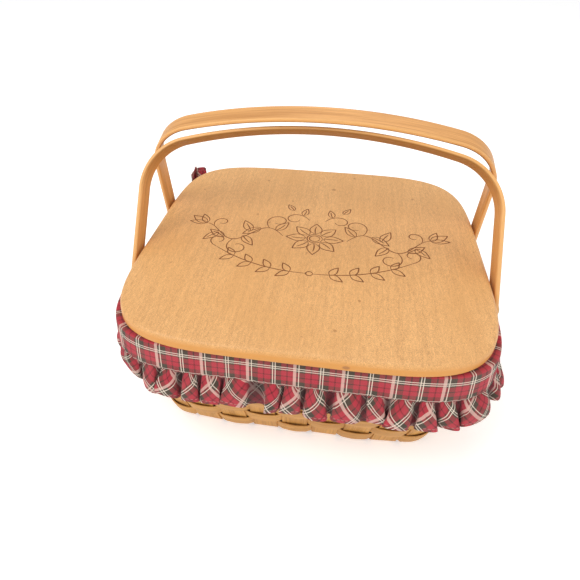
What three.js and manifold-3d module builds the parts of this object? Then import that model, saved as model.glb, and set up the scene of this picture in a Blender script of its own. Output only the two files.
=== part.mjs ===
// Lidded splint basket: plaited floor and walls, bentwood rim, two swing handles,
// a wooden lid and a gathered cloth liner. Millimetres, +Z up, front towards -Y,
// origin on the floor under the middle of the basket.
import * as THREE from 'three';
import { mergeVertices } from 'three/addons/utils/BufferGeometryUtils.js';
import Module from 'manifold-3d';

const wasm = await Module();
wasm.setup();

// Woven body. Half-widths are taken to the middle of the stakes.
const BASE_HALF = 126;
const RIM_HALF = 155;
const BASKET_HEIGHT = 118;
const WALL_POWER = 6.4; // of the outline: 2 is a circle, more is squarer
const STAKES_PER_SIDE = 9;
const STAKE_GAP = 3.8; // between neighbours on the floor
const STAKE_THICK = 1.2;
const STAKE_BEND = 3; // where a stake turns up into the wall
const WEAVER_ROWS = 7;
const WEAVER_THICK = 1;
const ROW_GAP = 1.4;
const RIM_BAND_HEIGHT = 22;
const RIM_BAND_THICK = 3;
const CLEARANCE = 0.3; // between pieces that touch

// Swing handles: one bent strip each, turning on two rivets
const PIVOT_STAKE = 2; // from the middle of a side to the stake that a rivet goes through
const PIVOT_INSET = 6.353; // rivet to the middle of that stake
const HANDLE_REACH = 146.8; // pivot to the middle of the crown
const HANDLE_WIDTH = 21;
const HANDLE_THICK = 4.2;
const CROWN_RADIUS = 480;
const SHOULDER_RADIUS = 50;
const FRONT_LEAN = 32.5; // degrees towards the back
const REAR_LEAN = 16; // degrees towards the front
const RIVET_RADIUS = 2.2;
const RIVET_HEAD_RADIUS = 5.5;
const RIVET_HEAD_HEIGHT = 2.2;
const WASHER_RADIUS = 8;
const WASHER_THICK = 1.2;

// Lid
const LID_POWER = 4.75; // rounder than the wall
const LID_SIDE_GAP = 3.2; // lid edge to handle legs
const LID_FORWARD = 7; // how far forward the loose lid lies
const LID_THICK = 11.5;
const LID_EDGE_ROUND = 3.5;
const CLEAT_SPACING = 190;
const CLEAT_WIDTH = 22;
const CLEAT_THICK = 8;
const CLEAT_END_GAP = 6;
const CLEAT_END_TAPER = 10;

// Cloth liner
const CLOTH_THICK = 1;
const BAND_DROP = 25; // flap below the rim top
const FLAP_STAKES = 6; // stakes covered each way from the middle of a side
const RUFFLE_DROP = 27;
const RUFFLE_FLARE = 4;
const GATHER_DEPTH = 1.5; // fold depth at the seam
const FOLD_DEPTH = 6; // fold depth at the hem
const FOLD_COUNT = 17;
const FOLD_STEPS = 6; // sections in one fold
const RUFFLE_ROWS = 2;

// Sizes that follow
const STAKE_COUNT = 4 * STAKES_PER_SIDE;
const LAST_STAKE = (STAKES_PER_SIDE - 1) / 2;
const rimFoot = BASKET_HEIGHT - RIM_BAND_HEIGHT;
const floorMiddle = STAKE_THICK + CLEARANCE / 2;
const floorTop = 2 * floorMiddle;
const rimFace = STAKE_THICK / 2 + CLEARANCE + RIM_BAND_THICK;
const flapInside = rimFace + CLEARANCE;
const flapOutside = flapInside + CLOTH_THICK;
const capTop = BASKET_HEIGHT + CLEARANCE + CLOTH_THICK;
const lidBottom = capTop + CLEARANCE;
const pivotHeight = BASKET_HEIGHT - RIM_BAND_HEIGHT / 2;
const boreRadius = RIVET_RADIUS + CLEARANCE;

// Colours, roughness and metalness of the materials
const SPLINT = [0xd9a866, 0.6, 0];
const BENTWOOD = [0xe0a465, 0.5, 0];
const LID_WOOD = [0xe0b177, 0.55, 0];
const PLAID = [0xa8445a, 0.95, 0];
const BRASS = [0xb08d4a, 0.35, 1];

// Squarish outline of half-width 1, walked once round from the middle of the front towards +X
function squarishOutline(power) {
  const pointAt = (angle) => {
    const spoke = new THREE.Vector2(Math.cos(angle), Math.sin(angle));
    return spoke.multiplyScalar((Math.abs(spoke.x) ** power + Math.abs(spoke.y) ** power) ** (-1 / power));
  };
  const steps = 1440;
  const angleAt = (step) => (step / steps) * 2 * Math.PI - Math.PI / 2;
  const walked = [0];
  for (let step = 1; step <= steps; step++) {
    walked.push(walked[step - 1] + pointAt(angleAt(step)).distanceTo(pointAt(angleAt(step - 1))));
  }
  const perimeter = walked[steps];

  // Place after a share of the walk: its point, outward normal and onward direction
  function placeAt(share) {
    const target = (share - Math.floor(share)) * perimeter;
    const step = Math.max(1, walked.findIndex((length) => length >= target));
    const part = (target - walked[step - 1]) / (walked[step] - walked[step - 1]);
    const point = pointAt(angleAt(step - 1 + part));
    const steep = (value) => Math.sign(value) * Math.abs(value) ** (power - 1);
    const normal = new THREE.Vector2(steep(point.x), steep(point.y)).normalize();
    return { point, normal, onward: new THREE.Vector2(-normal.y, normal.x) };
  }

  // Half-width at a distance from the middle line, for an outline of a given half-width
  const reachAcross = (half, away) => half * (1 - (Math.abs(away) / half) ** power) ** (1 / power);

  return { perimeter, placeAt, reachAcross };
}

const wallOutline = squarishOutline(WALL_POWER);
const lidOutline = squarishOutline(LID_POWER);
const stakePlaces = Array.from({ length: STAKE_COUNT }, (_, index) =>
  wallOutline.placeAt(index / STAKE_COUNT));
const placeOfStake = (index) => stakePlaces[(index + STAKE_COUNT) % STAKE_COUNT];
const floorPitch = (wallOutline.perimeter * BASE_HALF) / STAKE_COUNT;
const stakeWidth = floorPitch - STAKE_GAP;

// Rivet places on the side walls, and what stands outside those walls
const pivotHalf = placeOfStake(STAKES_PER_SIDE + PIVOT_STAKE).point.y * RIM_HALF - PIVOT_INSET;
const pivotWall = wallOutline.reachAcross(RIM_HALF, pivotHalf);
const handleInside = pivotWall + rimFace + 2 * CLEARANCE + WASHER_THICK;
const handleOutside = handleInside + HANDLE_THICK;
const lidHalf = handleInside - LID_SIDE_GAP;

// The wall leans out from the floor to the rim's lower edge and is upright inside the rim
function wallHalf(height) {
  return BASE_HALF + (RIM_HALF - BASE_HALF) * Math.min(1, height / rimFoot);
}

// Point near the wall: along is measured sideways and out towards the outside
function wallPoint(place, height, along, out) {
  const plan = place.point.clone().multiplyScalar(wallHalf(height));
  plan.addScaledVector(place.onward, along).addScaledVector(place.normal, out);
  return new THREE.Vector3(plan.x, plan.y, height);
}

const level = (vector2) => new THREE.Vector3(vector2.x, vector2.y, 0);

// Corners of a flat strip's section from its middle and two half-size vectors
function stripSection(middle, across, through) {
  return [
    middle.clone().sub(across).add(through),
    middle.clone().add(across).add(through),
    middle.clone().add(across).sub(through),
    middle.clone().sub(across).sub(through),
  ];
}

// Six times the signed volume inside the faces
function signedVolume(points, faces) {
  let sum = 0;
  for (let i = 0; i < faces.length; i += 3) {
    const [a, b, c] = [points[faces[i]], points[faces[i + 1]], points[faces[i + 2]]];
    sum += a.dot(b.clone().cross(c));
  }
  return sum;
}

// Closed skin over sections of equal, even corner count. The second half of a section's
// corners runs back along the first half, and the ends are closed across that ladder.
function loft(sections, ring = false) {
  const corners = sections[0].length;
  const points = sections.flat();
  const faces = [];
  const quad = (a, b, c, d) => faces.push(a, b, c, a, c, d);
  const spans = ring ? sections.length : sections.length - 1;
  for (let i = 0; i < spans; i++) {
    const here = i * corners;
    const next = ((i + 1) % sections.length) * corners;
    for (let j = 0; j < corners; j++) {
      const k = (j + 1) % corners;
      quad(here + j, here + k, next + k, next + j);
    }
  }
  if (!ring) {
    const last = (sections.length - 1) * corners;
    for (let j = 0; j < corners / 2 - 1; j++) {
      const far = corners - 1 - j;
      quad(j, far, far - 1, j + 1);
      quad(last + j, last + j + 1, last + far - 1, last + far);
    }
  }
  if (signedVolume(points, faces) < 0) faces.reverse();
  const geometry = new THREE.BufferGeometry().setFromPoints(points);
  geometry.setIndex(faces);
  return geometry;
}

// Conversions for cutting and joining closed meshes
function solidOf(geometry) {
  const bare = geometry.clone();
  bare.deleteAttribute('normal');
  bare.deleteAttribute('uv');
  const merged = mergeVertices(bare, 1e-4);
  const vertProperties = new Float32Array(merged.attributes.position.array);
  const triVerts = new Uint32Array(merged.index.array);
  return new wasm.Manifold(new wasm.Mesh({ numProp: 3, vertProperties, triVerts }));
}

function geometryOf(solid) {
  const mesh = solid.getMesh();
  const geometry = new THREE.BufferGeometry();
  geometry.setAttribute('position', new THREE.BufferAttribute(mesh.vertProperties, 3));
  geometry.setIndex(new THREE.BufferAttribute(mesh.triVerts, 1));
  return geometry;
}

// Rivet holes through both side walls
function drilled(geometry) {
  const drill = new THREE.CylinderGeometry(boreRadius, boreRadius, 2 * (RIM_HALF + 2 * rimFace), 12);
  drill.rotateZ(Math.PI / 2);
  const front = solidOf(drill.clone().translate(0, -pivotHalf, pivotHeight));
  const rear = solidOf(drill.clone().translate(0, pivotHalf, pivotHeight));
  return geometryOf(solidOf(geometry).subtract(front).subtract(rear));
}

function piece(name, geometry, [color, roughness, metalness]) {
  const mesh = new THREE.Mesh(geometry, new THREE.MeshStandardMaterial({ color, roughness, metalness }));
  mesh.name = name;
  return mesh;
}

// One stake: down one wall, plaited across the floor and up the opposite wall.
// crossings are the places of the stakes it crosses, from the first foot to the second,
// and side is 1 where it runs over the first of them and -1 where it runs under.
function stakeGeometry(firstPlace, secondPlace, run, crossings, side) {
  const across = new THREE.Vector3(Math.abs(run.y), Math.abs(run.x), 0);
  const half = stakeWidth / 2;
  const thick = STAKE_THICK / 2;
  const down = new THREE.Vector3(0, 0, -1);

  function wallSections(place) {
    const sideways = level(place.onward).multiplyScalar(half * Math.sign(level(place.onward).dot(across)));
    const outward = level(place.normal);
    const upright = [BASKET_HEIGHT, rimFoot, floorMiddle + STAKE_BEND].map((height) =>
      stripSection(wallPoint(place, height, 0, 0), sideways, outward.clone().multiplyScalar(thick)));
    const bend = [Math.PI / 4, 0].map((turn) => {
      const middle = wallPoint(place, 0, 0, STAKE_BEND * (Math.sin(turn) - 1));
      middle.z = floorMiddle + STAKE_BEND * (1 - Math.cos(turn));
      const through = outward.clone().multiplyScalar(Math.sin(turn)).addScaledVector(down, Math.cos(turn));
      const easing = across.clone().multiplyScalar(half).lerp(sideways, turn === 0 ? 0.5 : 1);
      return stripSection(middle, easing, through.multiplyScalar(thick));
    });
    return [...upright, ...bend];
  }

  const lift = (STAKE_THICK + CLEARANCE) / 2;
  const foot = level(firstPlace.point).multiplyScalar(BASE_HALF);
  const line = foot.clone().addScaledVector(run, -foot.dot(run));
  const floorSections = crossings.flatMap((crossing, index) => {
    const height = floorMiddle + lift * side * (index % 2 === 0 ? 1 : -1);
    const distance = level(crossing.point).dot(run) * BASE_HALF;
    return [-half, half].map((edge) => {
      const middle = line.clone().addScaledVector(run, distance + edge).setZ(height);
      return stripSection(middle, across.clone().multiplyScalar(half), down.clone().multiplyScalar(thick));
    });
  });
  return loft([...wallSections(firstPlace), ...floorSections, ...wallSections(secondPlace).reverse()]);
}

// Band round the basket between two heights. offsetOf gives its distance out at each stake.
function hoopGeometry(low, high, thick, offsetOf) {
  const sections = stakePlaces.flatMap((place, index) => [-stakeWidth / 2, stakeWidth / 2].map((along) => {
    const foot = wallPoint(place, low, along, offsetOf(index));
    const head = wallPoint(place, high, along, offsetOf(index));
    const middle = foot.clone().add(head).multiplyScalar(0.5);
    const rise = head.clone().sub(foot).multiplyScalar(0.5);
    return stripSection(middle, rise, level(place.normal).multiplyScalar(thick / 2));
  }));
  return loft(sections, true);
}

function wovenBody() {
  const body = new THREE.Group();
  const order = Array.from({ length: STAKES_PER_SIDE }, (_, index) => index - LAST_STAKE);
  const toRear = new THREE.Vector3(0, 1, 0);
  const toRight = new THREE.Vector3(1, 0, 0);
  const rightFeet = order.map((step) => placeOfStake(STAKES_PER_SIDE + step));
  const frontFeet = order.map((step) => placeOfStake(step));
  order.forEach((step, index) => {
    const rear = placeOfStake(2 * STAKES_PER_SIDE - step);
    const left = placeOfStake(3 * STAKES_PER_SIDE - step);
    const side = index % 2 === 0 ? 1 : -1;
    const lengthwise = stakeGeometry(frontFeet[index], rear, toRear, rightFeet, side);
    body.add(piece(`stake_front_back_${index + 1}`, lengthwise, SPLINT));
    const crosswise = stakeGeometry(left, rightFeet[index], toRight, frontFeet, -side);
    const onRivet = Math.abs(step) === PIVOT_STAKE;
    body.add(piece(`stake_left_right_${index + 1}`, onRivet ? drilled(crosswise) : crosswise, SPLINT));
  });

  const rowsFoot = floorMiddle + STAKE_BEND + ROW_GAP;
  const rowPitch = (rimFoot - rowsFoot) / WEAVER_ROWS;
  const weave = STAKE_THICK / 2 + CLEARANCE + WEAVER_THICK / 2;
  for (let row = 0; row < WEAVER_ROWS; row++) {
    const low = rowsFoot + row * rowPitch;
    const inOrOut = (index) => ((index + row) % 2 === 0 ? weave : -weave);
    const geometry = hoopGeometry(low, low + rowPitch - ROW_GAP, WEAVER_THICK, inOrOut);
    body.add(piece(`weaver_${row + 1}`, geometry, SPLINT));
  }

  const band = STAKE_THICK / 2 + CLEARANCE + RIM_BAND_THICK / 2;
  for (const [name, offset] of [['rim_outer', band], ['rim_inner', -band]]) {
    const geometry = hoopGeometry(rimFoot, BASKET_HEIGHT, RIM_BAND_THICK, () => offset);
    body.add(piece(name, drilled(geometry), BENTWOOD));
  }
  return body;
}

// Rivet and washer, both turned about +X
function rivetGeometry() {
  const foot = pivotWall - rimFace;
  const seat = handleOutside + CLEARANCE;
  const crown = seat + RIVET_HEAD_HEIGHT;
  const profile = [
    [0, foot],
    [RIVET_RADIUS, foot],
    [RIVET_RADIUS, seat],
    [RIVET_HEAD_RADIUS, seat],
    [RIVET_HEAD_RADIUS * 0.85, seat + RIVET_HEAD_HEIGHT * 0.6],
    [RIVET_HEAD_RADIUS * 0.45, crown - RIVET_HEAD_HEIGHT * 0.1],
    [0, crown],
  ];
  const points = profile.map(([radius, height]) => new THREE.Vector2(radius, height));
  return new THREE.LatheGeometry(points, 12).rotateZ(-Math.PI / 2);
}

function washerGeometry() {
  const inside = pivotWall + rimFace + CLEARANCE;
  const outside = inside + WASHER_THICK;
  const profile = [
    [boreRadius, inside],
    [WASHER_RADIUS, inside],
    [WASHER_RADIUS, outside],
    [boreRadius, outside],
    [boreRadius, inside],
  ];
  const points = profile.map(([radius, height]) => new THREE.Vector2(radius, height));
  return new THREE.LatheGeometry(points, 14).rotateZ(-Math.PI / 2);
}

function pivots() {
  const group = new THREE.Group();
  for (const [end, y] of [['front', -pivotHalf], ['rear', pivotHalf]]) {
    for (const [hand, turn] of [['right', 0], ['left', Math.PI]]) {
      const seat = new THREE.Group();
      seat.position.set(0, y, pivotHeight);
      seat.rotation.z = turn;
      seat.add(piece(`rivet_${end}_${hand}`, rivetGeometry(), BRASS));
      seat.add(piece(`washer_${end}_${hand}`, washerGeometry(), BRASS));
      group.add(seat);
    }
  }
  return group;
}

// Handle with its pivot at the origin and its crown up: a bent strip seen from the front,
// met by the strip's own side view with the rounded feet and the rivet bores
function handleGeometry() {
  const span = handleInside + HANDLE_THICK / 2;
  const half = HANDLE_WIDTH / 2;
  const crownCentre = HANDLE_REACH - CROWN_RADIUS;
  const shoulderX = span - SHOULDER_RADIUS;
  const shoulderZ = crownCentre + Math.sqrt((CROWN_RADIUS - SHOULDER_RADIUS) ** 2 - shoulderX ** 2);
  const meet = Math.atan2(shoulderZ - crownCentre, shoulderX);

  const arch = new THREE.Shape();
  const outer = HANDLE_THICK / 2;
  arch.moveTo(span + outer, -half);
  arch.absarc(shoulderX, shoulderZ, SHOULDER_RADIUS + outer, 0, meet, false);
  arch.absarc(0, crownCentre, CROWN_RADIUS + outer, meet, Math.PI - meet, false);
  arch.absarc(-shoulderX, shoulderZ, SHOULDER_RADIUS + outer, Math.PI - meet, Math.PI, false);
  arch.lineTo(-span - outer, -half);
  arch.lineTo(-span + outer, -half);
  arch.absarc(-shoulderX, shoulderZ, SHOULDER_RADIUS - outer, Math.PI, Math.PI - meet, true);
  arch.absarc(0, crownCentre, CROWN_RADIUS - outer, Math.PI - meet, meet, true);
  arch.absarc(shoulderX, shoulderZ, SHOULDER_RADIUS - outer, meet, 0, true);
  arch.lineTo(span - outer, -half);
  const bendOptions = { depth: HANDLE_WIDTH, bevelEnabled: false, curveSegments: 5 };
  const bent = new THREE.ExtrudeGeometry(arch, bendOptions);
  bent.translate(0, 0, -half).rotateX(Math.PI / 2);

  const profile = new THREE.Shape();
  const above = HANDLE_REACH + HANDLE_WIDTH;
  profile.moveTo(half, above);
  profile.lineTo(-half, above);
  profile.absarc(0, 0, half, Math.PI, 2 * Math.PI, false);
  profile.holes.push(new THREE.Path().absarc(0, 0, boreRadius, 0, 2 * Math.PI, true));
  const wide = 2 * (handleOutside + HANDLE_THICK);
  const side = new THREE.ExtrudeGeometry(profile, { depth: wide, bevelEnabled: false, curveSegments: 6 });
  side.translate(0, 0, -wide / 2);
  const [alongX, alongY, alongZ] = [[1, 0, 0], [0, 1, 0], [0, 0, 1]].map((v) => new THREE.Vector3(...v));
  side.applyMatrix4(new THREE.Matrix4().makeBasis(alongY, alongZ, alongX));
  return geometryOf(solidOf(bent).intersect(solidOf(side)));
}

function handle(name, y, lean) {
  const swing = new THREE.Group();
  swing.position.set(0, y, pivotHeight);
  swing.rotation.x = THREE.MathUtils.degToRad(lean);
  swing.add(piece(name, handleGeometry(), BENTWOOD));
  return swing;
}

// Lid panel with rounded-over edges and two cleats across its grain underneath
function lid() {
  const group = new THREE.Group();
  group.position.y = -LID_FORWARD;
  const outlineSteps = 56;
  const outline = Array.from({ length: outlineSteps }, (_, index) =>
    lidOutline.placeAt(index / outlineSteps).point.clone().multiplyScalar(lidHalf));
  const panel = new THREE.ExtrudeGeometry(new THREE.Shape(outline), {
    depth: LID_THICK - 2 * LID_EDGE_ROUND,
    bevelThickness: LID_EDGE_ROUND,
    bevelSize: LID_EDGE_ROUND,
    bevelOffset: -LID_EDGE_ROUND,
    bevelSegments: 2,
  });
  const panelMesh = piece('lid_panel', panel, LID_WOOD);
  panelMesh.position.z = lidBottom + LID_EDGE_ROUND;
  group.add(panelMesh);

  const innerHalf = RIM_HALF - flapOutside;
  const cleatHalf = wallOutline.reachAcross(innerHalf, (CLEAT_SPACING + CLEAT_WIDTH) / 2) - CLEAT_END_GAP;
  const outlineOfCleat = new THREE.Shape([
    new THREE.Vector2(-cleatHalf + CLEAT_END_TAPER, -CLEAT_THICK),
    new THREE.Vector2(cleatHalf - CLEAT_END_TAPER, -CLEAT_THICK),
    new THREE.Vector2(cleatHalf, 0),
    new THREE.Vector2(-cleatHalf, 0),
  ]);
  for (const [end, side] of [['front', -1], ['rear', 1]]) {
    const bar = new THREE.ExtrudeGeometry(outlineOfCleat, { depth: CLEAT_WIDTH, bevelEnabled: false });
    bar.translate(0, 0, -CLEAT_WIDTH / 2).rotateX(Math.PI / 2);
    const cleat = piece(`lid_cleat_${end}`, bar, LID_WOOD);
    cleat.position.set(0, (side * CLEAT_SPACING) / 2, lidBottom - CLEARANCE);
    group.add(cleat);
  }
  return group;
}

// Cloth bag: inside face up from the floor to the mouth, then outside face down again
function bagGeometry() {
  const loop = (height, out) => stakePlaces.flatMap((place) =>
    [-stakeWidth / 2, stakeWidth / 2].map((along) => wallPoint(place, height, along, out)));
  const wall = -(STAKE_THICK / 2 + CLEARANCE + WEAVER_THICK + CLEARANCE);
  const rim = -flapInside;
  const seat = floorTop + CLEARANCE;
  const corner = STAKE_BEND + CLOTH_THICK;
  return loft([
    loop(seat + CLOTH_THICK, wall - CLOTH_THICK - corner),
    loop(seat + CLOTH_THICK + corner, wall - CLOTH_THICK),
    loop(rimFoot - CLEARANCE - CLOTH_THICK, rim - CLOTH_THICK),
    loop(BASKET_HEIGHT, rim - CLOTH_THICK),
    loop(BASKET_HEIGHT, rim),
    loop(rimFoot - CLEARANCE - CLOTH_THICK, rim),
    loop(seat + corner, wall),
    loop(seat, wall - corner),
  ]);
}

// Flap: a cap over the rim and a plain band down its outside, across the front and round both corners
function flapGeometry() {
  const profile = [
    [-flapOutside, capTop],
    [flapOutside, capTop],
    [flapOutside, BASKET_HEIGHT - BAND_DROP],
    [flapInside, BASKET_HEIGHT - BAND_DROP],
    [flapInside, capTop - CLOTH_THICK],
    [-flapOutside, capTop - CLOTH_THICK],
  ];
  const sections = [];
  for (let index = -FLAP_STAKES; index <= FLAP_STAKES; index++) {
    const place = placeOfStake(index);
    for (const along of [-stakeWidth / 2, stakeWidth / 2]) {
      const rim = wallPoint(place, BASKET_HEIGHT, along, 0);
      const outward = level(place.normal);
      sections.push(profile.map(([out, height]) => rim.clone().addScaledVector(outward, out).setZ(height)));
    }
  }
  return loft(sections);
}

// Ruffle: gathered cloth sewn under the flap, with folds that deepen and wander towards the hem
function ruffleGeometry() {
  const top = BASKET_HEIGHT - BAND_DROP - CLEARANCE;
  const endShare = FLAP_STAKES / STAKE_COUNT + stakeWidth / 2 / (wallOutline.perimeter * RIM_HALF);
  const steps = FOLD_COUNT * FOLD_STEPS;

  function clothPoint(step, fall) {
    const travel = step / steps;
    const place = wallOutline.placeAt(endShare * (2 * travel - 1));
    const wander = 0.5 * Math.sin(travel * 17 + 1) + 0.35 * Math.sin(travel * 41);
    const fold = Math.sin(travel * FOLD_COUNT * 2 * Math.PI + wander);
    const swell = 1 + 0.25 * Math.sin(travel * 29 + 2);
    const depth = GATHER_DEPTH + (FOLD_DEPTH * swell - GATHER_DEPTH) * fall;
    const out = flapInside + CLOTH_THICK / 2 + RUFFLE_FLARE * fall + depth * fold;
    const height = top - RUFFLE_DROP * fall * (1 + 0.03 * fold);
    const plan = place.point.clone().multiplyScalar(RIM_HALF).addScaledVector(place.normal, out);
    return new THREE.Vector3(plan.x, plan.y, height);
  }

  const sections = [];
  for (let step = 0; step <= steps; step++) {
    const face = [];
    const back = [];
    for (let row = 0; row <= RUFFLE_ROWS; row++) {
      const fall = row / RUFFLE_ROWS;
      const ahead = clothPoint(step + 0.5, fall).sub(clothPoint(step - 0.5, fall));
      const facing = new THREE.Vector3(ahead.y, -ahead.x, 0).normalize().multiplyScalar(CLOTH_THICK / 2);
      face.push(clothPoint(step, fall).add(facing));
      back.unshift(clothPoint(step, fall).sub(facing));
    }
    sections.push([...face, ...back]);
  }
  return loft(sections);
}

function liner() {
  const group = new THREE.Group();
  group.add(piece('liner_bag', bagGeometry(), PLAID));
  for (const [end, turn] of [['front', 0], ['rear', Math.PI]]) {
    const half = new THREE.Group();
    half.rotation.z = turn;
    half.add(piece(`liner_flap_${end}`, flapGeometry(), PLAID));
    half.add(piece(`liner_ruffle_${end}`, ruffleGeometry(), PLAID));
    group.add(half);
  }
  return group;
}

const basket = new THREE.Group();
basket.add(wovenBody());
basket.add(pivots());
basket.add(handle('handle_front', -pivotHalf, -FRONT_LEAN));
basket.add(handle('handle_rear', pivotHalf, REAR_LEAN));
basket.add(lid());
basket.add(liner());

export default basket;
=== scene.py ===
"""Looks of a lidded splint basket: plaited splints, bent rim and handles, wooden lid and plaid liner.

Laid out as a Blender add-on and run as a script. Shapes are worked out in millimetres in the
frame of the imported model, front towards -Y, and are put into the meshes in metres.
"""

import bpy
import numpy as np
from mathutils import Matrix


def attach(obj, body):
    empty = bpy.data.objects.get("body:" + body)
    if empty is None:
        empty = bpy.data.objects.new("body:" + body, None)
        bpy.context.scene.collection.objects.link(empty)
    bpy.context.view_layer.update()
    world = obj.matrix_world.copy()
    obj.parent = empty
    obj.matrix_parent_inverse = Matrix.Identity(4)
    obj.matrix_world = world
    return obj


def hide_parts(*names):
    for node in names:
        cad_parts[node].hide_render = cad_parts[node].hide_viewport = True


bl_info = {
    "name": "Lidded splint basket",
    "version": (1, 0, 0),
    "blender": (4, 5, 0),
    "location": "View3D > Sidebar > Basket",
    "description": "Dresses the packed model of a lidded splint basket",
    "category": "Object",
}

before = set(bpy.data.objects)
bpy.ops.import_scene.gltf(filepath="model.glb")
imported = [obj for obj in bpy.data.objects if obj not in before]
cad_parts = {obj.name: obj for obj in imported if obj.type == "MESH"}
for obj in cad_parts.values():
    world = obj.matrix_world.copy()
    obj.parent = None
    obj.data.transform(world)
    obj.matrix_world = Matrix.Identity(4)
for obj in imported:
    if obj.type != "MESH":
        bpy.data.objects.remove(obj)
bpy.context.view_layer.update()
MM = 0.001

# Body, in millimetres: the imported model's sizes, with the edges, crowns and grain that dress them
WALL_POWER = 6.4
BASE_HALF = 126.0
RIM_HALF = 155.0
RIM_TOP = 118.0
RIM_FOOT = 96.0
RIM_THICK = 3.0
RIM_EDGE = 1.1
RIM_OUT = 2.4
STAKES = 36
SIDE_STAKES = STAKES // 4
STAKE_WIDTH = 21.95
STAKE_THICK = 1.2
STAKE_EDGE = 0.5
STAKE_BEND = 3.0
CUPPED = (4.5, 16.0)  # heights where a stake starts and ends to take the outline's curve
FLOOR_MIDDLE = 1.35
FLOOR_LIFT = 0.75
WEAVERS = 7
WEAVER_THICK = 1.0
WEAVER_EDGE = 0.42
WEAVER_CROWN = 0.3
WEAVER_OUT = 1.4
ROWS_FOOT = 5.75
ROW_PITCH = 12.893
ROW_GAP = 1.4
ROW_TUCK = 0.9
STAKE_GRAIN = 1.37  # metres of grain from one stake to the next
ROW_GRAIN = 2.11
STRIDES = STAKES * 12  # steps of a ring round the wall

# Handles, with leans in degrees towards the back
PIVOT_Y = 57.0
PIVOT_Z = 107.0
PIVOT_WALL = 154.96
HANDLE_SPAN = 162.76
HANDLE_REACH = 146.8
HANDLE_WIDTH = 21.0
HANDLE_THICK = 4.2
HANDLE_EDGE = 1.3
HANDLE_CLEAR = 1.4  # of the cloth inside the lowered handle
CROWN_RADIUS = 480.0
SHOULDER_RADIUS = 50.0
SHOULDER_X = HANDLE_SPAN - SHOULDER_RADIUS
FRONT_LEAN = 32.5
REAR_LEAN = -16.0

# Lid
LID_POWER = 4.75
LID_HALF = 157.46
LID_BOTTOM = 119.6
LID_TOP = 131.1
LID_ROUND = 3.5
LID_FACE = 2.0  # from the rounded edge to the ring that closes a face
LID_FORWARD = 7.0
CLEAT_Y = 95.0
CLEAT_HALF = 141.1
CLEAT_WIDTH = 22.0
CLEAT_THICK = 8.0
CLEAT_TAPER = 10.0
CLEAT_TOP = 119.3

# Small fittings: radius and height of a head, and where they sit
HEAD_FOOT = 0.4
TACK = (1.9, 0.7)
TACKS = ((-1.1, 103.0), (-0.5, 111.0), (0.5, 111.0), (1.1, 111.0))  # stakes from a side's middle, height
SCREW = (3.2, 1.0)
SCREWS_X = (-105.0, 0.0, 105.0)
RIVET_HEAD = (5.4, 2.3)
RIVET_SHANK = 2.1
RIVET_END = -3.8
RIVET_GAP = 0.1
WASHER_HOLE = 2.5
WASHER_RADIUS = 7.9
WASHER_FACES = (4.2, 5.4)
WASHER_EDGE = 0.3

# Marks on the lid: a knot on its front edge, pin knots on top as x, y and radius, and the ornament
KNOT_X = 38.3
KNOT_Z = 124.4
PIN_KNOTS = ((46.3, -95.1, 1.5), (28.4, -134.0, 1.5), (-61.9, 112.2, 1.6), (14.9, 100.9, 2.6))
ORNAMENT_PLACE = (2.0, -6.0)
SWAG_START = 3.0
SWAG_LENGTH = 88.0
SWAG_LOW = -58.0
SWAG_RISE = 30.0

# Liner: the flap's profile runs from inside the rim over its top to the seam, as out and height
CLOTH_OUT = 4.7
CLOTH_END = 0.1763  # share of the walk round the rim from the middle of a side
SEAM_Z = 93.0
SEAM_LAY = 29.5  # the seam's place across the plaid
FLAP_FACE = 4.4  # past this the flap hangs outside the rim
FLAP_PROFILE = (
    (-5.0, 117.6), (-4.7, 118.5), (-3.8, 118.8), (0.0, 118.85), (3.6, 118.8), (4.5, 118.45),
    (4.8, 117.4), (4.95, 113.0), (5.05, 106.0), (5.0, 99.0), (4.8, SEAM_Z))
RUFFLE_DROP = 24.0
RUFFLE_LAP = 1.4  # above the seam
RUFFLE_TUCK = 0.9  # behind the flap
BAND_STITCH = 1.6  # stitches above the seam
HEM_STITCH = 3.0  # stitches above the hem
STITCH = 3.0  # from one stitch to the next
BAG_IN = 2.7
BAG_FOOT = 8.0
BAG_FLOOR = 3.7

# Ends of a ruffle, as shares of the walk from the middle of its side, and widths
DRAWN_LEFT = (0.1, 0.121)
DRAWN_RIGHT = 0.13
DRAWN_WIDTH = 15.0
SPREAD_RIGHT = (0.132, 0.156)
TURNED_AT = 0.135
TURNED_WIDTH = 18.0

# Plaid: the stripes of one repeat, by width and colour, and where they start across the cloth
PLAID = (
    (2.3, "rose"), (1.6, "grey_green"), (0.7, "cream"), (4.4, "grey_green"), (3.9, "crimson"),
    (1.2, "dark_red"), (4.4, "crimson"), (1.5, "grey_green"), (0.65, "cream"), (1.3, "grey_green"),
    (0.65, "cream"), (4.2, "grey_green"), (3.9, "crimson"), (1.15, "dark_red"), (4.0, "crimson"))
STRIPE_WEIGHT = {"cream": 1.0, "rose": 0.8}
PLAIN_WEIGHT = 0.3
WEFT_START = 8.7
WHOLE_REPEATS = 40.0  # keep the count of repeats above zero

# Camera in the photograph's frame: focal length and middle in pixels, angles in degrees
PHOTO_SIDE = 580.0
FOCAL = 535.85
AZIMUTH = 9.289
ELEVATION = 30.596
DISTANCE = 525.69
SIDE_SHIFT = 45.886
RISE_SHIFT = -13.476
MIDDLE_X = 266.36
MIDDLE_Y = 221.53
SENSOR = 36.0


def srgb(red, green, blue):
    """Linear colour of an 8-bit screen colour: the usual screen curve with its straight foot."""
    screen = np.array([red, green, blue]) / 255.0
    curve = np.where(screen <= 0.04045, screen / 12.92, ((screen + 0.055) / 1.055) ** 2.4)
    return tuple(float(part) for part in curve)


def colour_property(name, description, screen):
    return bpy.props.FloatVectorProperty(
        name=name, description=description, subtype="COLOR", size=3, min=0.0, max=1.0,
        default=srgb(*screen))


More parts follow.
